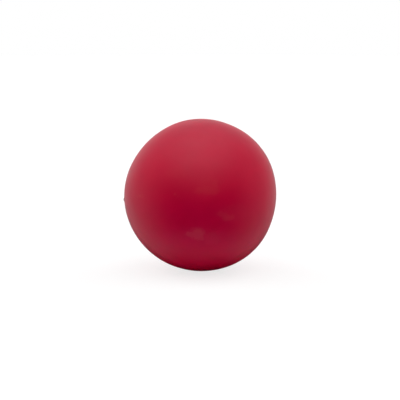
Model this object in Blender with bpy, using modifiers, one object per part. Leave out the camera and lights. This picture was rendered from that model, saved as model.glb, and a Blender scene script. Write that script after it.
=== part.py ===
"""A hollow rubber ball: half shells with bevelled rims, the cement between them, a self-sealing valve plug
in a boss at the rear pole, and the spot of rubber solution that closes the needle's way in.

Metres, +Z up. The origin is the ball's centre and the ball's axis is Y: the front pole is at -Y and the
needle's way in is at the rear pole, +Y. Every piece is turned about that axis.
"""

import math

import bpy

# Shell
BALL_DIAMETER = 0.0635
WALL = 0.0045

# Seam: the rims slope across the wall, in degrees, so that the front half centres itself in the rear half
SEAM_SLOPE = 35.0
CEMENT_FILM = 0.0003
SQUEEZE_BEAD_RADIUS = 0.0008

# Valve boss inside the rear half, and the needle's way in through its floor
BOSS_HEIGHT = 0.0036
BOSS_WALL = 0.0028
BOSS_FILLET = 0.0012
BOSS_EDGE_RADIUS = 0.0007
POCKET_FLOOR = 0.0026
NEEDLE_DIAMETER = 0.0014
DIMPLE_DIAMETER = 0.0042
DIMPLE_DEPTH = 0.0009

# Valve plug: a stem with a taper in degrees, and a crowned flange that the air presses on to the boss
STEM_DIAMETER = 0.0080
STEM_TAPER = 4.0
STEM_EDGE_RADIUS = 0.0006
FLANGE_LIP = 0.0022
FLANGE_THICKNESS = 0.0016
FLANGE_CROWN = 0.0006

# Space left between pieces that touch
SEAT_GAP = 0.0003

# Facets
SHELL_STEPS = 64
VALVE_STEPS = 32
SKIN_ARC_STEP = math.tau / SHELL_STEPS
SMALL_ARC_STEP = math.radians(30)
SHARP_ANGLE = math.radians(32)
MERGE_DISTANCE = 0.00001

# Finishes: linear colour and roughness
RED_RUBBER = ((0.42, 0.004, 0.030), 0.42)
RUBBER_CEMENT = ((0.24, 0.006, 0.022), 0.35)
GUM_RUBBER = ((0.52, 0.27, 0.10), 0.50)
RUBBER_SOLUTION = ((0.34, 0.004, 0.026), 0.30)

# Radii that follow from the sizes above
BALL_RADIUS = BALL_DIAMETER / 2
CHAMBER_RADIUS = BALL_RADIUS - WALL
NEEDLE_RADIUS = NEEDLE_DIAMETER / 2
DIMPLE_RADIUS = DIMPLE_DIAMETER / 2
STEM_RADIUS = STEM_DIAMETER / 2
POCKET_RADIUS = STEM_RADIUS + SEAT_GAP
BOSS_RADIUS = POCKET_RADIUS + BOSS_WALL
FLANGE_RADIUS = STEM_RADIUS + FLANGE_LIP

# Heights along the ball's axis, from its centre towards the rear pole
BOSS_TOP = CHAMBER_RADIUS - BOSS_HEIGHT
POCKET_END = BALL_RADIUS - POCKET_FLOOR
DIMPLE_RIM = math.sqrt(BALL_RADIUS**2 - DIMPLE_RADIUS**2)
DIMPLE_END = DIMPLE_RIM - DIMPLE_DEPTH

FRONT_POLE = -math.pi / 2
REAR_POLE = math.pi / 2
CENTRE = (0, 0)


def arc(centre, radius, start, end, step):
    """Points (radius, height) on an arc between two angles, both ends included."""
    count = max(1, round(abs(end - start) / step))
    angles = [start + (end - start) * i / count for i in range(count + 1)]
    return [(centre[0] + radius * math.cos(a), centre[1] + radius * math.sin(a)) for a in angles]


def angle_of(point):
    """The latitude of a profile point, seen from the ball's centre."""
    return math.atan2(point[1], point[0])


def sphere_crossings(start, direction, radius):
    """The points where a line goes into and comes out of a sphere round the ball's centre."""
    along = start[0] * direction[0] + start[1] * direction[1]
    reach = math.sqrt(along**2 - start[0] ** 2 - start[1] ** 2 + radius**2)
    travels = (-along - reach, -along + reach)
    return [(start[0] + t * direction[0], start[1] + t * direction[1]) for t in travels]


def seam_point(offset, radius):
    """Where the seam, moved towards the rear half by an offset, meets a sphere round the ball's centre."""
    slope = math.radians(SEAM_SLOPE)
    start = (BALL_RADIUS + offset * math.sin(slope), offset * math.cos(slope))
    inwards = (-math.cos(slope), math.sin(slope))
    return sphere_crossings(start, inwards, radius)[0]


def material(name, finish):
    colour, roughness = finish
    made = bpy.data.materials.new(name)
    made.use_nodes = True
    shader = made.node_tree.nodes["Principled BSDF"]
    shader.inputs["Base Color"].default_value = (*colour, 1)
    shader.inputs["Roughness"].default_value = roughness
    shader.inputs["Metallic"].default_value = 0
    made.diffuse_color = (*colour, 1)
    return made


def turned(name, profile, steps, finish, axis, closed=False):
    """One object turned from a profile of (radius, height) points about the Z axis of the empty it hangs on."""
    count = len(profile)
    edges = [(i, (i + 1) % count) for i in range(count if closed else count - 1)]
    outline = bpy.data.meshes.new(name + "_profile")
    outline.from_pydata([(radius, 0, height) for radius, height in profile], edges, [])
    piece = bpy.data.objects.new(name, outline)
    axis.users_collection[0].objects.link(piece)
    screw = piece.modifiers.new("turn", "SCREW")
    screw.axis = "Z"
    screw.angle = math.tau
    screw.steps = steps
    screw.render_steps = steps
    screw.use_merge_vertices = True
    screw.merge_threshold = MERGE_DISTANCE

    graph = bpy.context.evaluated_depsgraph_get()
    solid = bpy.data.meshes.new_from_object(piece.evaluated_get(graph))
    solid.name = name
    piece.modifiers.clear()
    piece.data = solid
    bpy.data.meshes.remove(outline)
    solid.shade_smooth()
    solid.set_sharp_from_angle(angle=SHARP_ANGLE)
    solid.materials.append(material(name, finish))
    piece.parent = axis
    return piece


def front_half_profile():
    """Half shell whose rim slopes inwards past the equator, as the inner side of the lap."""
    rim = -(CEMENT_FILM / 2 + SEAT_GAP)
    inner = seam_point(rim, CHAMBER_RADIUS)
    outer = seam_point(rim, BALL_RADIUS)
    chamber = arc(CENTRE, CHAMBER_RADIUS, FRONT_POLE, angle_of(inner), SKIN_ARC_STEP)
    skin = arc(CENTRE, BALL_RADIUS, angle_of(outer), FRONT_POLE, SKIN_ARC_STEP)
    return chamber + skin


def boss_profile():
    """Fillet, boss, pocket and needle channel, from the chamber wall to the dimple."""
    edge = (BOSS_RADIUS - BOSS_EDGE_RADIUS, BOSS_TOP + BOSS_EDGE_RADIUS)
    # The largest fillet that meets both the chamber wall and the boss above its rounded edge
    room = CHAMBER_RADIUS**2 - BOSS_RADIUS**2 - edge[1] ** 2
    fillet = min(BOSS_FILLET, room / (2 * (CHAMBER_RADIUS + BOSS_RADIUS)))
    root_radius = BOSS_RADIUS + fillet
    root = (root_radius, math.sqrt((CHAMBER_RADIUS - fillet) ** 2 - root_radius**2))
    narrowing = (POCKET_END - BOSS_TOP) * math.tan(math.radians(STEM_TAPER))
    return (
        arc(root, fillet, angle_of(root), math.pi, SMALL_ARC_STEP)
        + arc(edge, BOSS_EDGE_RADIUS, 0, FRONT_POLE, SMALL_ARC_STEP)
        + [(POCKET_RADIUS, BOSS_TOP), (POCKET_RADIUS - narrowing, POCKET_END)]
        + [(NEEDLE_RADIUS, POCKET_END), (NEEDLE_RADIUS, DIMPLE_END)]
    )


def rear_half_profile():
    """Half shell with the outer side of the lap, and the valve boss at its pole."""
    rim = CEMENT_FILM / 2 + SEAT_GAP
    inner = seam_point(rim, CHAMBER_RADIUS)
    outer = seam_point(rim, BALL_RADIUS)
    boss = boss_profile()
    dimple = angle_of((DIMPLE_RADIUS, DIMPLE_RIM))
    skin = arc(CENTRE, BALL_RADIUS, dimple, angle_of(outer), SKIN_ARC_STEP)
    chamber = arc(CENTRE, CHAMBER_RADIUS, angle_of(inner), angle_of(boss[0]), SKIN_ARC_STEP)
    return skin + chamber[:-1] + boss


def cement_profile():
    """Film between the bevelled rims, ending in the round bead that is pressed out into the chamber."""
    half = CEMENT_FILM / 2
    centre = seam_point(0, CHAMBER_RADIUS - SEAT_GAP - SQUEEZE_BEAD_RADIUS)
    outwards = -math.radians(SEAM_SLOPE)
    neck = math.asin(half / SQUEEZE_BEAD_RADIUS)
    start, end = outwards - neck, outwards + neck - math.tau
    bead = arc(centre, SQUEEZE_BEAD_RADIUS, start, end, SMALL_ARC_STEP)
    return [seam_point(half, BALL_RADIUS), seam_point(-half, BALL_RADIUS)] + bead


def plug_profile():
    """Tapered stem with a pilot for the needle, and a crowned flange against the boss."""
    end = POCKET_END - SEAT_GAP
    seat = BOSS_TOP - SEAT_GAP
    taper = math.tan(math.radians(STEM_TAPER))
    end_radius = STEM_RADIUS - (end - BOSS_TOP) * taper
    corner = (end_radius - STEM_EDGE_RADIUS, end - STEM_EDGE_RADIUS)
    rim_radius = FLANGE_THICKNESS / 2
    rim = (FLANGE_RADIUS - rim_radius, seat - rim_radius)
    crown_radius = (rim[0] ** 2 + FLANGE_CROWN**2) / (2 * FLANGE_CROWN)
    crown_centre = (0, seat - FLANGE_THICKNESS - FLANGE_CROWN + crown_radius)
    crown_start = FRONT_POLE + math.asin(rim[0] / crown_radius)
    return (
        [(0, end - NEEDLE_RADIUS), (NEEDLE_RADIUS, end)]
        + arc(corner, STEM_EDGE_RADIUS, REAR_POLE, 0, SMALL_ARC_STEP)
        + [(STEM_RADIUS + SEAT_GAP * taper, seat)]
        + arc(rim, rim_radius, REAR_POLE, FRONT_POLE, SMALL_ARC_STEP)[:-1]
        + arc(crown_centre, crown_radius, crown_start, FRONT_POLE, SKIN_ARC_STEP)
    )


def seal_profile():
    """Drop of solution, flush with the skin, over the dimple's cone and down the needle channel to the plug."""
    slope = math.atan2(DIMPLE_DEPTH, DIMPLE_RADIUS - NEEDLE_RADIUS)
    outwards = (math.cos(slope), math.sin(slope))
    nib_radius = NEEDLE_RADIUS - SEAT_GAP
    # The drop's cone lies one gap above the dimple's, and starts at the nib's side
    rise = SEAT_GAP / math.cos(slope) - SEAT_GAP * math.tan(slope)
    neck = (nib_radius, DIMPLE_END + rise)
    edge = sphere_crossings(neck, outwards, BALL_RADIUS)[1]
    face = arc(CENTRE, BALL_RADIUS, REAR_POLE, angle_of(edge), SKIN_ARC_STEP)
    return face + [neck, (nib_radius, POCKET_END), (0, POCKET_END)]


def main():
    for old in list(bpy.data.objects):
        bpy.data.objects.remove(old, do_unlink=True)

    ball = bpy.data.collections.new("rubber_ball")
    bpy.context.scene.collection.children.link(ball)
    axis = bpy.data.objects.new("ball_axis", None)
    axis.rotation_euler = (-math.pi / 2, 0, 0)
    ball.objects.link(axis)

    turned("front_half_shell", front_half_profile(), SHELL_STEPS, RED_RUBBER, axis)
    turned("rear_half_shell", rear_half_profile(), SHELL_STEPS, RED_RUBBER, axis, closed=True)
    turned("seam_cement", cement_profile(), SHELL_STEPS, RUBBER_CEMENT, axis, closed=True)
    turned("valve_plug", plug_profile(), VALVE_STEPS, GUM_RUBBER, axis)
    turned("needle_hole_seal", seal_profile(), VALVE_STEPS, RUBBER_SOLUTION, axis)


main()
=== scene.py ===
"""The hollow rubber ball as it looks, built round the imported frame.

Metres, +Z up. The ball's centre is the origin and its axis is Y: the front pole is at -Y and the needle's
way in is at the rear pole, +Y. The rubber skins, the seam and the drop of rubber solution are modelled
here, and the valve plug keeps its own solid.
"""

import math

import bmesh
import bpy
import numpy as np
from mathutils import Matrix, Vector


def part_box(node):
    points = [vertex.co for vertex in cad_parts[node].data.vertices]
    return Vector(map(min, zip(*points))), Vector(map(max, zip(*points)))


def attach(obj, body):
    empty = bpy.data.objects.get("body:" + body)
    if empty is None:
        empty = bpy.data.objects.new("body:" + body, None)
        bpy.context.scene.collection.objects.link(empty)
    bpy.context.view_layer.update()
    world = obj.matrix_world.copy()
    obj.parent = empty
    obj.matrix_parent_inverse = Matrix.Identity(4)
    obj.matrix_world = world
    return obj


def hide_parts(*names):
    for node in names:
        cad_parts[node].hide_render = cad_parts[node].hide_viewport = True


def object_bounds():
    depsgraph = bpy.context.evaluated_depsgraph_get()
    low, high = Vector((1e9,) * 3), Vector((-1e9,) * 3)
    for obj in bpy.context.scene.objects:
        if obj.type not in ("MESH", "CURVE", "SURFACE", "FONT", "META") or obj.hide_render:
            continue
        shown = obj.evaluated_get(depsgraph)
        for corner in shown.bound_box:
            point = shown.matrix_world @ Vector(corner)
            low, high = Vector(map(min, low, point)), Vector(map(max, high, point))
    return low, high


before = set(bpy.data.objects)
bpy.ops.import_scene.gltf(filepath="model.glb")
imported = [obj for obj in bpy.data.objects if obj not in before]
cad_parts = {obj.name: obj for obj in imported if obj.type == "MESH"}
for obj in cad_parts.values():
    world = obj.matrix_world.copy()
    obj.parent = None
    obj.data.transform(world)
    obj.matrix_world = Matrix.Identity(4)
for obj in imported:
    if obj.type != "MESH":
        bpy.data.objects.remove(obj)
cad_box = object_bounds()

MM = 0.001

# Sizes that the frame gives
BALL_RADIUS = (cad_box[1].z - cad_box[0].z) / 2
POCKET_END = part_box("needle_hole_seal")[0].y

# The shell and its bevelled seam
WALL = 4.5 * MM
CHAMBER_RADIUS = BALL_RADIUS - WALL
SEAM_SLOPE = math.radians(35)
SEAM_CLEARANCE = 0.03 * MM
RIM_EDGE = 0.16 * MM

# The cement: its film, its trimmed edge, a leftover of flash on that edge, and the bead inside
CEMENT_FILM = 0.30 * MM
TRIM_DEPTH = 0.03 * MM
TRIM_UNEVEN = 0.02 * MM
TRIM_LENGTH = 6.0 * MM
TRIM_SEED = 21
NIB_ANGLE = math.radians(183.2)
NIB_HEIGHT = 0.35 * MM
NIB_WIDTH = 0.9 * MM
BEAD_RADIUS = 0.8 * MM
BEAD_CLEARANCE = 0.3 * MM
BEAD_SHRINK = 0.15
BEAD_UNEVEN = 0.5
BEAD_SEED = 22

# The valve boss, and the needle's way in through its floor
BOSS_TOP = CHAMBER_RADIUS - 3.6 * MM
BOSS_FILLET = 1.2 * MM
BOSS_EDGE = 0.7 * MM
POCKET_RADIUS = 4.3 * MM
POCKET_TAPER = math.radians(4)
BOSS_RADIUS = POCKET_RADIUS + 2.8 * MM
NEEDLE_RADIUS = 0.7 * MM
DIMPLE_RADIUS = 2.1 * MM
DIMPLE_DEPTH = 0.9 * MM
DIMPLE_RIM = math.sqrt(BALL_RADIUS**2 - DIMPLE_RADIUS**2)

# The drop of rubber solution over the needle's way in
DROP_RADIUS = 2.7 * MM
DROP_HEIGHT = 0.16 * MM
DROP_ROUNDING = 0.7
DROP_EDGE = 0.02 * MM
DROP_CLEARANCE = 0.02 * MM
DROP_UNEVEN = 0.049
DROP_UNEVEN_RISE = 4
DROP_SEED = 31

# The skin's departures from a true sphere: out of round by (turns, height, phase in degrees) about the axis
OUT_OF_ROUND = (
    (2, 0.09 * MM, 110),
    (3, 0.18 * MM, -165),
    (4, 0.07 * MM, 115),
    (5, 0.09 * MM, 145),
)
# Shallow waves left by the mould: (length, height, seed)
MOULD_WAVES = (
    (14.0 * MM, 0.020 * MM, 11),
    (5.0 * MM, 0.004 * MM, 12),
)
WAVE_COUNT = 24
GRIND_DEPTH = 0.03 * MM
GRIND_WIDTH = 1.6 * MM
MOST_RELIEF = 1.1

# Mesh density
GRID = 48
RIM_POINTS = 8 * GRID
SEAM_POINTS = 2 * RIM_POINTS
EDGE_POINTS = 5
SLOPE_POINTS = 6
HOLE_STEPS = 8
DROP_POINTS = 96
DROP_RINGS = 12
DROP_TIP = 0.1
BEAD_POINTS = 18
FILM_POINTS = (1, 0.5, -0.5, -1)
ARC_STEP = math.radians(18)
SHARP_ANGLE = math.radians(32)

# Places on the bake map: centre and radius of the outer side's disc and of the hidden side's disc
OUTER_DISC = (0.5, 0.5, 0.44)
HIDDEN_DISC = (0.895, 0.895, 0.10)
# Where the chamber and the boss begin on the hidden side's way from the rim to the pole
CHAMBER_WAY = 0.15
BOSS_WAY = 0.75

# The picture's frame, and where the ball lies in it
PICTURE = 400
BALL_PIXEL = (200.8, 195.2)
BALL_PIXEL_RADIUS = 76.2
CAMERA_ELEVATION = math.radians(8)
LENS = 100.0
SENSOR = 36.0
FOCAL = LENS / SENSOR * PICTURE

# Linear colours of the red rubber and of the pale haze on it, which also paints reflections on its front, and
# the gloss
CRIMSON = (0.46, 0.0008, 0.030)
PALE = (0.90, 0.80, 0.27)
ROUGHNESS = 0.315
REFRACTION = 1.5
# The range of noise that is used, and its middle as a vector
NOISE_RANGE = (0.3, 0.7)
NOISE_MIDDLE = (0.5, 0.5, 0.5)
# Uneven tone and gloss as (size in millimetres, detail, least, most)
BROAD_TONE = (20.0, 2.0, 0.975, 1.025)
FINE_TONE = (2.4, 4.0, -0.012, 0.012)
UNEVEN_GLOSS = (7.0, 3.0, ROUGHNESS - 0.03, ROUGHNESS + 0.03)
GRAIN_SIZE = 0.6
GRAIN_HEIGHT = 0.0015 * MM
# The buffed band: where it starts and is full, in millimetres from the seam, what it adds, its scratches
BUFFED_REACH = (2.6, 1.0)
BUFFED_HAZE = 0.006
BUFFED_ROUGHNESS = 0.06
SCRATCH_STRETCH = (0.15, 5.0, 0.15)
SCRATCH_DETAIL = 3.0
SCRATCH_TONE = 0.12
SCRATCH_GRAIN = 1.5
# Faint patches of haze: (size in millimetres, detail, distortion), where they start and are full, amount
PATCHES = (12.0, 5.0, 0.7)
PATCH_RANGE = (0.52, 0.80)
PATCH_HAZE = 0.002
# Roughness that the haze and the painted reflections add, for each unit of their amount
HAZE_AND_REFLECTION_ROUGHNESS = 3.0
# Painted reflections on the front skin, as pale marks in the base colour: place in the picture, width and
# height in millimetres, amount
PAINTED_REFLECTION_MARKS = {
    "wedge": ((198.0, 234.0), (6.2, 6.0), 0.047),
    "wedge_tip": ((191.0, 234.5), (5.8, 3.6), 0.042),
    "wedge_foot": ((200.5, 238.0), (4.8, 3.8), 0.036),
    "wedge_fringe": ((193.0, 229.5), (3.5, 2.4), 0.014),
    "beside_wedge": ((212.0, 239.0), (8.0, 6.8), 0.012),
    "round_streak": ((234.0, 213.0), (15.0, 9.0), 0.006),
    "streak_start": ((222.5, 214.5), (5.5, 3.0), 0.015),
    "streak_end": ((228.5, 217.5), (6.5, 3.6), 0.021),
    "round_tongue": ((209.0, 186.0), (8.5, 8.5), 0.005),
    "tongue": ((207.5, 190.8), (11.5, 3.8), 0.012),
    "tongue_side": ((214.8, 184.5), (3.4, 5.4), 0.009),
    "upper_left": ((176.0, 173.5), (11.0, 5.0), 0.004),
    "round_left_speck": ((139.5, 196.0), (5.0, 2.0), 0.008),
}
# Specks in the same way, with one width
SPECKS = {
    "middle_speck": ((175.0, 194.0), 1.3, 0.016),
    "lower_speck": ((178.0, 196.5), 1.0, 0.008),
    "left_speck": ((140.0, 196.0), 1.0, 0.014),
}
# Where a mark starts and where it is full, as shares of its half width
MARK_EDGE = (1.1, 0.5)
# The span over which the edges of marks are stirred, in millimetres, and how finely
RAGGED = 2.4
STIR_SCALE = 0.45
# Dust: size of its cells in millimetres, share of them without a dot, the dot's edge in cells, amount
DUST_SPACING = 7.0
DUST_RARE = 0.9
DUST_DOT = (0.07, 0.03)
DUST_HAZE = 0.04

# The other rubbers: dark and light tone, size of their patches in millimetres, roughness, height of the grain
CEMENT = ((0.20, 0.003, 0.018), (0.27, 0.005, 0.026), 1.2, 0.36, 0.004 * MM)
SOLUTION = ((0.31, 0.003, 0.022), (0.37, 0.004, 0.027), 1.6, 0.24, 0.003 * MM)
GUM = ((0.46, 0.23, 0.08), (0.56, 0.30, 0.12), 2.0, 0.52, 0.006 * MM)
MOTTLE_DETAIL = 4.0
MOTTLE_GLOSS = 0.04
GRAIN_SHARE = 0.25

# The studio: soft lights as (direction they come from, width in degrees, level)
SOFT_LIGHTS = {
    "key_light": ((0, -0.45, 1), 70, 0.45),
    "front_light": ((0, -1, 0.25), 60, 0.22),
    "left_light": ((-1, 0.3, 0.4), 80, 0.65),
    "right_light": ((1, 0.3, 0.4), 80, 0.62),
    "back_light": ((0, 1, 0.3), 130, 0.50),
}
# What the gloss mirrors, by direction (x right, y back, z up): a ceiling that falls off from its middle,
# pale walls that brighten to the back and dim below, a dark front, the floor, and the ball's own shade
CEILING_LEVEL = 1.35
CEILING_TILT = 0.2
CEILING_FALL = 2.5
CEILING_NARROW = 0.3
WALL_LEVEL = 0.42
WALL_REACH = (-0.85, 0.15)
WALL_LEAN = 0.2
BACK_GAIN = 0.2
BACK_REACH = (0.5, 0.9)
LOW_SHARE = 0.8
LOW_REACH = (-0.3, -0.8)
GROUND_LEVEL = 0.2
GROUND_REACH = (-0.6, -0.85)
LEFT_GAIN = 0.10
SHADE_REACH = (-0.4, 0.5)
SHADE_TOP = (-0.1, -0.4)
SHADE_WIDTH = (0.7, 0.2)
# The floor as the camera sees it, mostly by its own glow, and as it lights the ball from below
FLOOR_GLOW = 0.75
FLOOR_SHADE = (0.26, 0.26, 0.26)
FLOOR_BOUNCE = (0.46, 0.0, 0.30)
FLOOR_BOUNCE_NEAR = (0.86, 0.0, 0.75)
FLOOR_NEAR = (0.035, 0.06)
FLOOR_RADIUS = 6.0
FLOOR_SIDES = 128
WHITE = (1.0, 1.0, 1.0)


# Shape of the skin


def waves(points, length, height, seed):
    """A smooth random field over points, made of plane waves of one length in random directions."""
    draw = np.random.default_rng(seed)
    turns = draw.normal(size=(WAVE_COUNT, 3))
    turns *= math.tau / length / np.linalg.norm(turns, axis=1, keepdims=True)
    phases = draw.uniform(0, math.tau, WAVE_COUNT)
    return height * np.cos(points @ turns.T + phases).sum(axis=1) / math.sqrt(WAVE_COUNT / 2)


def relief(points):
    """How far the skin stands out from a true sphere, on the lines from the centre through the points."""
    directions = points / np.linalg.norm(points, axis=1, keepdims=True)
    on_sphere = directions * BALL_RADIUS
    across = directions[:, 0] + 1j * directions[:, 2]
    height = -GRIND_DEPTH * np.exp(-((on_sphere[:, 1] / GRIND_WIDTH) ** 2))
    for turns, size, phase in OUT_OF_ROUND:
        height += size * (across**turns * np.exp(-1j * math.radians(phase))).real
    for length, size, seed in MOULD_WAVES:
        height += waves(on_sphere, length, size, seed)
    return height


def with_relief(points):
    """Points moved by the skin's relief, which fades through the wall to nothing at the chamber."""
    radius = np.linalg.norm(points, axis=1)
    share = np.clip((radius - CHAMBER_RADIUS) / WALL, 0, MOST_RELIEF)
    return points * (1 + share * relief(points) / radius)[:, None]


# Sections: points (radius, height) beside the ball's axis, with the height towards the rear pole


def arc(centre, radius, start, end):
    angles = np.linspace(start, end, 1 + math.ceil(abs(end - start) / ARC_STEP))
    return [(centre[0] + radius * math.cos(a), centre[1] + radius * math.sin(a)) for a in angles]


def seam_point(offset, radius):
    """Where the seam, moved towards the rear half by an offset, meets a sphere round the ball's centre."""
    start = (BALL_RADIUS + offset * math.sin(SEAM_SLOPE), offset * math.cos(SEAM_SLOPE))
    inwards = (-math.cos(SEAM_SLOPE), math.sin(SEAM_SLOPE))
    along = start[0] * inwards[0] + start[1] * inwards[1]
    travel = -along - math.sqrt(along**2 - start[0] ** 2 - start[1] ** 2 + radius**2)
    return (start[0] + travel * inwards[0], start[1] + travel * inwards[1])


def rim_section(pole):
    """The rim of a half from its rounded edge to the chamber. The pole is 1 for the rear half, else -1."""
    offset = pole * (CEMENT_FILM / 2 + SEAM_CLEARANCE)
    corner = np.array(seam_point(offset, BALL_RADIUS))
    chamber = np.array(seam_point(offset, CHAMBER_RADIUS))
    inwards = (chamber - corner) / np.linalg.norm(chamber - corner)
    turn = math.atan2(corner[1], corner[0]) + pole * RIM_EDGE / BALL_RADIUS
    start = BALL_RADIUS * np.array((math.cos(turn), math.sin(turn)))
    end = corner + RIM_EDGE * inwards
    shares = np.linspace(0, 1, EDGE_POINTS)
    edge = [(1 - t) ** 2 * start + 2 * t * (1 - t) * corner + t**2 * end for t in shares]
    slope = [end + (chamber - end) * t for t in np.linspace(0, 1, 1 + SLOPE_POINTS)[1:]]
    return [tuple(point) for point in edge + slope]


def boss_section():
    """From the dimple's rim through the needle channel and the pocket, over the boss to the chamber wall."""
    narrowing = (POCKET_END - BOSS_TOP) * math.tan(POCKET_TAPER)
    edge = (BOSS_RADIUS - BOSS_EDGE, BOSS_TOP + BOSS_EDGE)
    root_radius = BOSS_RADIUS + BOSS_FILLET
    root = (root_radius, math.sqrt((CHAMBER_RADIUS - BOSS_FILLET) ** 2 - root_radius**2))
    return (
        [(DIMPLE_RADIUS, DIMPLE_RIM), (NEEDLE_RADIUS, DIMPLE_RIM - DIMPLE_DEPTH)]
        + [(NEEDLE_RADIUS, POCKET_END), (POCKET_RADIUS - narrowing, POCKET_END), (POCKET_RADIUS, BOSS_TOP)]
        + arc(edge, BOSS_EDGE, -math.pi / 2, 0)
        + arc(root, BOSS_FILLET, math.pi, math.atan2(root[1], root[0]))
    )


def cement_section(outer_radius, bead_radius):
    """The film of cement from its trimmed edge, and the bead that is pressed out of it."""
    half = CEMENT_FILM / 2
    crown = half / 2
    centre = seam_point(0, CHAMBER_RADIUS - BEAD_CLEARANCE - bead_radius)
    neck = math.asin(half / bead_radius)
    angles = np.linspace(-SEAM_SLOPE - neck, -SEAM_SLOPE + neck - math.tau, BEAD_POINTS)
    bead = [(centre[0] + bead_radius * math.cos(a), centre[1] + bead_radius * math.sin(a)) for a in angles]
    edge = [seam_point(share * half, outer_radius - abs(share) * crown) for share in FILM_POINTS]
    return edge + bead


# Meshes


def ring_azimuth(count):
    return np.arange(count) * math.tau / count - math.pi / 4


def ring_points(azimuth, radius, height=0.0):
    """Points round the axis. The radius and the height are numbers, or have a value for each azimuth."""
    radius, height = np.broadcast_arrays(radius, height, azimuth)[:2]
    return np.stack([radius * np.cos(azimuth), height, radius * np.sin(azimuth)], axis=1)


def square_ring(m):
    """Corners of a square grid that lie m steps out from its middle, in order of azimuth."""
    side = range(-m, m)
    ring = [(m, s) for s in side] + [(-s, m) for s in side]
    ring += [(-m, -s) for s in side] + [(s, -m) for s in side]
    return ring or [(0, 0)]


class Skin:
    """Collects the points and faces of one closed half. A point's way runs from 0 at the rim's outer edge
    to 1 at the pole and lays out the hidden side on the bake map."""

    def __init__(self, pole):
        self.pole = pole
        self.points = []
        self.ways = []
        self.faces = []

    def add_ring(self, count, radius, height, way):
        first = len(self.points)
        self.points.extend(ring_points(ring_azimuth(count), radius, height))
        self.ways.extend([way] * count)
        return list(range(first, first + count))

    def add_polar_ring(self, sphere, polar, reach, ways):
        way = ways[0] + (ways[1] - ways[0]) * float(polar.mean()) / reach
        return self.add_ring(len(polar), sphere * np.sin(polar), self.pole * sphere * np.cos(polar), way)

    def bridge(self, ring, other):
        """Quads between rings that have as many points."""
        for i in range(len(ring)):
            j = (i + 1) % len(ring)
            self.faces.append((ring[i], ring[j], other[j], other[i]))

    def half_sphere(self, sphere, reach, hole, ways):
        """A half sphere down to the polar angle of its rim: a square grid round the pole, then a belt of
        rings. With a hole, the grid's square rings turn into circles towards it. Returns the ring at the
        hole and the ring at the rim."""
        step = math.pi / 4 / GRID
        stretch = reach / (math.pi / 2)
        hole_steps = HOLE_STEPS if hole else 0
        corners = {}
        for m in range(hole_steps, GRID + 1):
            count = max(1, 8 * m)
            beside = (np.arange(count) % max(1, 2 * m) - m) * step
            polar = np.arctan(np.hypot(math.tan(m * step), np.tan(beside))) * stretch
            if hole:
                share = (m - hole_steps) / (GRID - hole_steps)
                circle = hole + (math.pi / 4 * stretch - hole) * share
                polar = circle + (polar - circle) * share**2 * (3 - 2 * share)
            ring = self.add_polar_ring(sphere, polar, reach, ways)
            corners.update(zip(square_ring(m), ring))
            if m == hole_steps:
                hole_ring = ring
        for i in range(-GRID, GRID):
            for j in range(-GRID, GRID):
                cell = ((i, j), (i + 1, j), (i + 1, j + 1), (i, j + 1))
                if all(c in corners for c in cell):
                    self.faces.append(tuple(corners[c] for c in cell))
        beside = (ring_azimuth(RIM_POINTS) + math.pi / 4) % (math.pi / 2) - math.pi / 4
        for k in range(1, GRID + 1):
            rise = math.tan(math.pi / 4 * (1 - k / GRID))
            polar = np.arctan2(1, np.cos(beside) * rise) * stretch
            next_ring = self.add_polar_ring(sphere, polar, reach, ways)
            self.bridge(ring, next_ring)
            ring = next_ring
        return hole_ring, ring

    def lathe(self, section, first_ring, last_ring, ways):
        """Rings along a section, between rings that exist."""
        ring = first_ring
        for k, (radius, height) in enumerate(section, 1):
            way = ways[0] + (ways[1] - ways[0]) * k / (len(section) + 1)
            next_ring = self.add_ring(len(ring), radius, height, way)
            self.bridge(ring, next_ring)
            ring = next_ring
        self.bridge(ring, last_ring)


def polar_angle(point, pole):
    return math.atan2(point[0], pole * point[1])


def finished_mesh(name, points, faces, finish):
    """A mesh object with its faces pointing out, smooth apart from its sharp edges."""
    mesh = bpy.data.meshes.new(name)
    mesh.from_pydata(np.asarray(points).tolist(), [], faces)
    shell = bmesh.new()
    shell.from_mesh(mesh)
    bmesh.ops.recalc_face_normals(shell, faces=shell.faces)
    shell.to_mesh(mesh)
    shell.free()
    mesh.shade_smooth()
    mesh.set_sharp_from_angle(angle=SHARP_ANGLE)
    mesh.materials.append(finish)
    piece = bpy.data.objects.new(name, mesh)
    bpy.context.scene.collection.objects.link(piece)
    return piece


def corner_points(mesh):
    """The number of the point at each face corner."""
    corner = np.empty(len(mesh.loops), np.int32)
    mesh.loops.foreach_get("vertex_index", corner)
    return corner


def lay_out(mesh, places):
    """Gives each face corner its place on the bake map."""
    layer = mesh.uv_layers.new(name="OFBake")
    layer.uv.foreach_set("vector", np.asarray(places, np.float32).ravel())


def half_skin(name, pole, finish):
    """One half of the ball: skin, rim and chamber, and at the rear the boss with the needle's way in."""
    skin = Skin(pole)
    rim = rim_section(pole)
    boss = boss_section() if pole > 0 else None
    outer_reach = polar_angle(rim[0], pole)
    inner_reach = polar_angle(rim[-1], pole)
    outer_hole = polar_angle(boss[0], pole) if boss else 0
    inner_hole = polar_angle(boss[-1], pole) if boss else 0
    inner_ways = (BOSS_WAY if boss else 1.0, CHAMBER_WAY)
    outer_mouth, outer_rim = skin.half_sphere(BALL_RADIUS, outer_reach, outer_hole, (1.0, 0.0))
    outer_count = len(skin.faces)
    inner_mouth, inner_rim = skin.half_sphere(CHAMBER_RADIUS, inner_reach, inner_hole, inner_ways)
    skin.lathe(rim[1:-1], outer_rim, inner_rim, (0.0, CHAMBER_WAY))
    if boss:
        skin.lathe(boss[1:-1], outer_mouth, inner_mouth, (1.0, BOSS_WAY))
    piece = finished_mesh(name, with_relief(np.array(skin.points)), skin.faces, finish)
    lay_out(piece.data, half_places(piece.data, skin, outer_count, outer_reach))
    return piece


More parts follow.
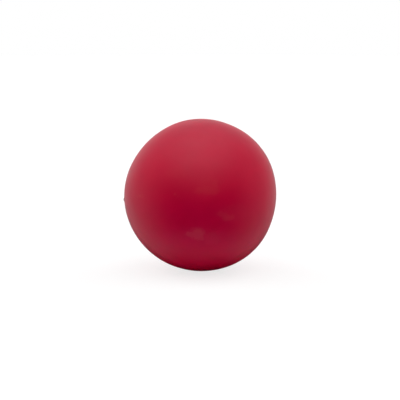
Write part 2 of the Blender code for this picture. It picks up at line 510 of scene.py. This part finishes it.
def half_places(mesh, skin, outer_count, reach):
    """Places of a half's corners, four to a face: the outer side on one disc, the hidden side on another."""
    corner = corner_points(mesh)
    points = np.array(skin.points)[corner]
    azimuth = np.arctan2(points[:, 2], points[:, 0])
    polar = np.arctan2(np.hypot(points[:, 0], points[:, 2]), skin.pole * points[:, 1])
    on_outside = np.arange(len(corner)) // 4 < outer_count
    spread = np.sin(polar / 2) / math.sin(reach / 2)
    hidden = 1 - np.array(skin.ways)[corner]
    discs = np.where(on_outside[:, None], OUTER_DISC, HIDDEN_DISC)
    radius = discs[:, 2] * np.where(on_outside, spread, hidden)
    turn = np.stack([np.cos(azimuth), np.sin(azimuth)], axis=1)
    return discs[:, :2] + radius[:, None] * turn


def swept(name, rows, finish, closed):
    """A mesh over rows of points round the axis. Closed rows make a ring, else a pole closes each end."""
    rows = np.asarray(rows)
    count, columns = rows.shape[:2]
    points = with_relief(rows.reshape(-1, 3))
    faces, places = [], []
    for k in range(count if closed else count - 1):
        for i in range(columns):
            j, below = (i + 1) % columns, (k + 1) % count
            faces.append((k * columns + i, k * columns + j, below * columns + j, below * columns + i))
            left, right, top, bottom = i / columns, (i + 1) / columns, k / count, (k + 1) / count
            places += [(left, top), (right, top), (right, bottom), (left, bottom)]
    if not closed:
        poles = [points[:columns].mean(axis=0), points[-columns:].mean(axis=0)]
        for start, pole in ((0, len(points)), (len(points) - columns, len(points) + 1)):
            level = (count - 1) / count if start else 0
            for i in range(columns):
                faces.append((start + i, start + (i + 1) % columns, pole))
                tip = ((i + 0.5) / columns, level + 0.5 / count)
                places += [(i / columns, level), ((i + 1) / columns, level), tip]
        points = np.concatenate([points, poles])
    piece = finished_mesh(name, points, faces, finish)
    lay_out(piece.data, corner_places(piece.data, faces, places))
    return piece


def corner_places(mesh, faces, places):
    """The places in the order of the mesh's face corners, which changes where a face was turned over."""
    corner = corner_points(mesh)
    ordered, at = [], 0
    for face in faces:
        place = dict(zip(face, places[at : at + len(face)]))
        ordered += [place[c] for c in corner[at : at + len(face)]]
        at += len(face)
    return ordered


def seam_ring(finish):
    """The cement between the rims: trimmed at the skin, with a leftover of flash, and a bead inside."""
    azimuth = ring_azimuth(SEAM_POINTS)
    circle = ring_points(azimuth, BALL_RADIUS)
    away = (azimuth - NIB_ANGLE + math.pi) % math.tau - math.pi
    nib = NIB_HEIGHT * np.exp(-((away * BALL_RADIUS / NIB_WIDTH) ** 2))
    trimmed = BALL_RADIUS - TRIM_DEPTH + waves(circle, TRIM_LENGTH, TRIM_UNEVEN, TRIM_SEED) + nib
    shrink = BEAD_SHRINK * (1 + waves(circle, TRIM_LENGTH, BEAD_UNEVEN, BEAD_SEED)).clip(0, 2)
    sections = np.array([cement_section(*radii) for radii in zip(trimmed, BEAD_RADIUS * (1 - shrink))])
    rows = [ring_points(azimuth, *row.T) for row in sections.transpose(1, 0, 2)]
    return swept("seam_cement_ring", rows, finish, closed=True)


def solution_drop(finish):
    """A dab of rubber solution, domed over the dimple with an uneven edge. It fills the needle's way in."""
    azimuth = ring_azimuth(DROP_POINTS)
    uneven = waves(ring_points(azimuth, DROP_RADIUS), 2 * DROP_RADIUS, DROP_UNEVEN, DROP_SEED)
    shares = np.linspace(DROP_TIP, 1, DROP_RINGS)
    dome = [(s, DROP_HEIGHT * (1 - s**2) ** DROP_ROUNDING + DROP_EDGE) for s in shares]
    under = [(1.0, DROP_CLEARANCE / 2), (DIMPLE_RADIUS / DROP_RADIUS, DROP_CLEARANCE / 2)]
    rows = []
    for share, lift in dome + under:
        radius = share * DROP_RADIUS * (1 + uneven * share**DROP_UNEVEN_RISE)
        rows.append(ring_points(azimuth, radius, np.sqrt(BALL_RADIUS**2 - radius**2) + lift))
    for height in (DIMPLE_RIM - DIMPLE_DEPTH + DROP_CLEARANCE, POCKET_END):
        rows.append(ring_points(azimuth, NEEDLE_RADIUS - DROP_CLEARANCE, height))
    return swept("needle_hole_drop", rows, finish, closed=False)


# Node trees


class Graph:
    """A node tree, with short calls for the nodes that are used often."""

    def __init__(self, tree):
        self.tree = tree

    def node(self, kind, inputs=(), **settings):
        made = self.tree.nodes.new(kind)
        for key, value in settings.items():
            setattr(made, key, value)
        for key, value in dict(inputs).items():
            self.feed(made.inputs[key], value)
        return made

    def feed(self, socket, value):
        if isinstance(value, bpy.types.NodeSocket):
            self.tree.links.new(value, socket)
        else:
            socket.default_value = value

    def math(self, operation, *values):
        return self.node("ShaderNodeMath", enumerate(values), operation=operation).outputs[0]

    def product(self, value, *factors):
        for factor in factors:
            value = self.math("MULTIPLY", value, factor)
        return value

    def vector(self, operation, *values, output="Vector"):
        return self.node("ShaderNodeVectorMath", enumerate(values), operation=operation).outputs[output]

    def scaled(self, vector, factor):
        inputs = {"Vector": vector, "Scale": factor}
        return self.node("ShaderNodeVectorMath", inputs, operation="SCALE").outputs["Vector"]

    def step(self, value, start, end, low=0.0, high=1.0):
        """A smooth step of a value from low at start to high at end."""
        inputs = {"Value": value, "From Min": start, "From Max": end, "To Min": low, "To Max": high}
        return self.node("ShaderNodeMapRange", inputs, interpolation_type="SMOOTHSTEP").outputs["Result"]

    def noise(self, place, size, detail=2.0, distortion=0.0):
        """Noise between about 0 and 1, with features of a size in the units of the place."""
        inputs = {"Vector": place, "Scale": 1 / size, "Detail": detail, "Distortion": distortion}
        return self.node("ShaderNodeTexNoise", inputs).outputs[0]

    def mottle(self, place, size, detail, low, high):
        """Noise in patches of a size, spread from low to high."""
        return self.step(self.noise(place, size, detail), *NOISE_RANGE, low, high)

    def mix(self, factor, a, b):
        """A mix of two colours, from a at 0 to b at 1."""
        return self.node("ShaderNodeMix", {0: factor, 6: a, 7: b}, data_type="RGBA").outputs[2]


def colour(rgb):
    return (*rgb, 1.0)


def new_material(name):
    """A material, its graph and its shader, with the place on the part in millimetres."""
    material = bpy.data.materials.new(name)
    material.use_nodes = True
    graph = Graph(material.node_tree)
    place = graph.node("ShaderNodeTexCoord").outputs["Object"]
    return material, graph, material.node_tree.nodes["Principled BSDF"], graph.scaled(place, 1 / MM)


def add_grain(graph, shader, grain, height):
    bump = graph.node("ShaderNodeBump", {"Strength": 1.0, "Distance": height, "Height": grain})
    graph.feed(shader.inputs["Normal"], bump.outputs[0])


# Finishes


def skin_point(pixel):
    """The point of the front skin, in millimetres, that lies behind a place in the picture."""
    eye, level = camera_stand()
    ray = (level @ Vector((pixel[0] - BALL_PIXEL[0], BALL_PIXEL[1] - pixel[1], -FOCAL))).normalized()
    nearest = -ray.dot(eye)
    return (eye + ray * (nearest - math.sqrt(nearest**2 - eye.length_squared + BALL_RADIUS**2))) / MM


def placed_mark(graph, place, pixel, size, level):
    """A mark on the front skin, with its width and height in millimetres."""
    offset = graph.vector("SUBTRACT", place, skin_point(pixel))
    offset = graph.vector("MULTIPLY", offset, (2 / size[0], 1 / max(size), 2 / size[1]))
    return graph.step(graph.vector("LENGTH", offset, output="Value"), *MARK_EDGE, 0.0, level)


def buffed_band(graph, place):
    """How far the rubber is buffed, from 0 to 1 at the seam, and the scratches that this left."""
    height = graph.node("ShaderNodeSeparateXYZ", {0: place}).outputs["Y"]
    buffed = graph.step(graph.math("ABSOLUTE", height), *BUFFED_REACH)
    stretched = graph.vector("MULTIPLY", place, SCRATCH_STRETCH)
    return buffed, graph.math("MULTIPLY", graph.noise(stretched, 1.0, SCRATCH_DETAIL), buffed)


def pale_haze_and_painted_reflections(graph, place, buffed):
    """The amount of pale haze on the rubber: faint patches, ragged marks that are painted reflections, the
    buffed band, specks and dust.
    """
    haze_and_painted_reflection = graph.step(graph.noise(place, *PATCHES), *PATCH_RANGE, 0.0, PATCH_HAZE)
    swirl = graph.node("ShaderNodeTexNoise", {"Vector": place, "Scale": STIR_SCALE}).outputs["Color"]
    stir = graph.scaled(graph.vector("SUBTRACT", swirl, NOISE_MIDDLE), RAGGED)
    ragged = graph.vector("ADD", place, stir)
    # The placed marks are painted reflections, pale patches put into the base colour.
    for pixel, size, level in PAINTED_REFLECTION_MARKS.values():
        haze_and_painted_reflection = graph.math("MAXIMUM", haze_and_painted_reflection, placed_mark(graph, ragged, pixel, size, level))
    haze_and_painted_reflection = graph.math("MULTIPLY_ADD", buffed, BUFFED_HAZE, haze_and_painted_reflection)
    for pixel, width, level in SPECKS.values():
        haze_and_painted_reflection = graph.math("ADD", haze_and_painted_reflection, placed_mark(graph, place, pixel, (width, width), level))
    cells = graph.node("ShaderNodeTexVoronoi", {"Vector": place, "Scale": 1 / DUST_SPACING})
    chance = graph.node("ShaderNodeSeparateColor", {0: cells.outputs["Color"]}).outputs[0]
    dot = graph.step(cells.outputs["Distance"], *DUST_DOT, 0.0, DUST_HAZE)
    return graph.math("MULTIPLY_ADD", dot, graph.math("GREATER_THAN", chance, DUST_RARE), haze_and_painted_reflection)


def red_rubber():
    """Crimson rubber with an uneven tone and gloss, a breath of pale haze, painted reflections on its front,
    a grain, and a buffed band.
    """
    material, graph, shader, place = new_material("red_rubber")
    buffed, scratches = buffed_band(graph, place)
    haze_and_painted_reflection = pale_haze_and_painted_reflections(graph, place, buffed)
    tone = graph.math("ADD", graph.mottle(place, *BROAD_TONE), graph.mottle(place, *FINE_TONE))
    tone = graph.math("MULTIPLY_ADD", scratches, SCRATCH_TONE, tone)
    # Base colour mixed towards pale by the haze, which also holds the painted reflections of the placed
    # marks.
    graph.feed(shader.inputs["Base Color"], graph.mix(haze_and_painted_reflection, graph.scaled(CRIMSON, tone), colour(PALE)))
    rough = graph.math("MULTIPLY_ADD", haze_and_painted_reflection, HAZE_AND_REFLECTION_ROUGHNESS, graph.mottle(place, *UNEVEN_GLOSS))
    rough = graph.math("MULTIPLY_ADD", buffed, BUFFED_ROUGHNESS, rough)
    graph.feed(shader.inputs["Roughness"], rough)
    shader.inputs["IOR"].default_value = REFRACTION
    grain = graph.math("MULTIPLY_ADD", scratches, SCRATCH_GRAIN, graph.noise(place, GRAIN_SIZE))
    add_grain(graph, shader, grain, GRAIN_HEIGHT)
    return material


def plain_rubber(name, dark, light, size, roughness, grain_height):
    """Rubber between two tones, mottled in patches of a size."""
    material, graph, shader, place = new_material(name)
    patches = graph.noise(place, size, MOTTLE_DETAIL)
    tone = graph.mix(graph.step(patches, *NOISE_RANGE), colour(dark), colour(light))
    graph.feed(shader.inputs["Base Color"], tone)
    rough = graph.step(patches, *NOISE_RANGE, roughness - MOTTLE_GLOSS, roughness + MOTTLE_GLOSS)
    graph.feed(shader.inputs["Roughness"], rough)
    shader.inputs["IOR"].default_value = REFRACTION
    add_grain(graph, shader, graph.noise(place, size * GRAIN_SHARE), grain_height)
    return material


# Studio


def camera_stand():
    """Where the camera stands, and the turn of a level camera there that looks straight at the ball."""
    distance = BALL_RADIUS / math.sin(math.atan(BALL_PIXEL_RADIUS / FOCAL))
    eye = distance * Vector((0, -math.cos(CAMERA_ELEVATION), math.sin(CAMERA_ELEVATION)))
    return eye, (-eye).to_track_quat("-Z", "Y")


def add_camera():
    data = bpy.data.cameras.new("camera")
    data.lens = LENS
    data.sensor_width = SENSOR
    camera = bpy.data.objects.new("camera", data)
    bpy.context.scene.collection.objects.link(camera)
    eye, level = camera_stand()
    right, down = BALL_PIXEL[0] - PICTURE / 2, BALL_PIXEL[1] - PICTURE / 2
    aim = level @ Vector((-right, down, -FOCAL))
    camera.location = eye
    camera.rotation_mode = "QUATERNION"
    camera.rotation_quaternion = aim.to_track_quat("-Z", "Y")
    bpy.context.scene.camera = camera


def add_lights():
    """Soft lights that give no highlights: the gloss mirrors the studio's surroundings instead."""
    for name, (source, width, level) in SOFT_LIGHTS.items():
        light = bpy.data.lights.new(name, "SUN")
        light.angle = math.radians(width)
        light.energy = level * math.pi
        light.cycles.use_multiple_importance_sampling = False
        lamp = bpy.data.objects.new(name, light)
        lamp.rotation_mode = "QUATERNION"
        lamp.rotation_quaternion = (-Vector(source)).to_track_quat("-Z", "Y")
        lamp.visible_glossy = False
        bpy.context.scene.collection.objects.link(lamp)


def add_surroundings():
    """What the gloss mirrors. It lights nothing else, and the camera sees plain white there."""
    world = bpy.data.worlds.new("studio")
    bpy.context.scene.world = world
    world.use_nodes = True
    world.cycles_visibility.diffuse = False
    graph = Graph(world.node_tree)
    towards = graph.node("ShaderNodeTexCoord").outputs["Generated"]
    x, y, z = graph.node("ShaderNodeSeparateXYZ", {0: towards}).outputs

    overhead = (0, -math.sin(CEILING_TILT), math.cos(CEILING_TILT))
    upwards = graph.math("MAXIMUM", graph.vector("DOT_PRODUCT", towards, overhead, output="Value"), 0.0)
    narrow = graph.math("MULTIPLY_ADD", graph.math("MULTIPLY", x, x), -CEILING_NARROW, 1.0)
    ceiling = graph.product(graph.math("POWER", upwards, CEILING_FALL), narrow, CEILING_LEVEL)
    wall = graph.step(graph.math("MULTIPLY_ADD", z, WALL_LEAN, y), *WALL_REACH, 0.0, WALL_LEVEL)
    wall = graph.product(
        wall,
        graph.step(y, *BACK_REACH, 1.0, 1.0 + BACK_GAIN),
        graph.step(z, *LOW_REACH, 1.0, LOW_SHARE),
    )
    ground = graph.step(z, *GROUND_REACH, 0.0, GROUND_LEVEL)
    together = graph.node("ShaderNodeCombineXYZ", {0: ceiling, 1: wall, 2: ground}).outputs[0]
    shade = graph.product(
        graph.step(y, *SHADE_REACH),
        graph.step(z, *SHADE_TOP),
        graph.step(graph.math("ABSOLUTE", x), *SHADE_WIDTH),
    )
    light = graph.product(
        graph.vector("LENGTH", together, output="Value"),
        graph.math("MULTIPLY_ADD", x, -LEFT_GAIN, 1.0),
        graph.math("SUBTRACT", 1.0, shade),
    )
    seen = graph.node("ShaderNodeLightPath").outputs["Is Camera Ray"]
    background = world.node_tree.nodes["Background"]
    background.inputs["Color"].default_value = colour(WHITE)
    graph.feed(background.inputs["Strength"], graph.math("MAXIMUM", light, seen))


def add_floor():
    """A plain pale floor. Its glow keeps the shadow faint, and its bounce has no green, so that the ball's
    underside stays crimson."""
    bpy.ops.mesh.primitive_circle_add(vertices=FLOOR_SIDES, radius=FLOOR_RADIUS, fill_type="NGON")
    floor = bpy.context.object
    floor.name = "floor"
    floor.location.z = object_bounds()[0].z
    material = bpy.data.materials.new("floor")
    material.use_nodes = True
    graph = Graph(material.node_tree)
    shader = material.node_tree.nodes["Principled BSDF"]
    seen = graph.node("ShaderNodeLightPath").outputs["Is Camera Ray"]
    away = graph.vector("LENGTH", graph.node("ShaderNodeTexCoord").outputs["Object"], output="Value")
    bounce = graph.mix(graph.step(away, *FLOOR_NEAR), colour(FLOOR_BOUNCE_NEAR), colour(FLOOR_BOUNCE))
    graph.feed(shader.inputs["Base Color"], graph.mix(seen, bounce, colour(FLOOR_SHADE)))
    shader.inputs["Emission Color"].default_value = colour(WHITE)
    graph.feed(shader.inputs["Emission Strength"], graph.math("MULTIPLY", seen, FLOOR_GLOW))
    shader.inputs["Roughness"].default_value = 1.0
    shader.inputs["Specular IOR Level"].default_value = 0.0
    floor.data.materials.append(material)
    floor.visible_glossy = False


def main():
    rubber = red_rubber()
    cement = plain_rubber("rubber_cement", *CEMENT)
    solution = plain_rubber("rubber_solution", *SOLUTION)
    gum = plain_rubber("gum_rubber", *GUM)
    pieces = (
        (half_skin("front_skin", -1, rubber), "front_half_shell", "red_rubber"),
        (half_skin("rear_skin", 1, rubber), "rear_half_shell", "red_rubber"),
        (seam_ring(cement), "seam_cement", "rubber_cement"),
        (solution_drop(solution), "needle_hole_seal", "rubber_solution"),
    )
    for piece, node, slot in pieces:
        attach(piece, "root")
        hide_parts(node)
    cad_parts["valve_plug"].material_slots[0].material = gum

    add_camera()
    add_lights()
    add_surroundings()
    add_floor()
    bpy.context.scene.view_settings.view_transform = "Standard"


main()
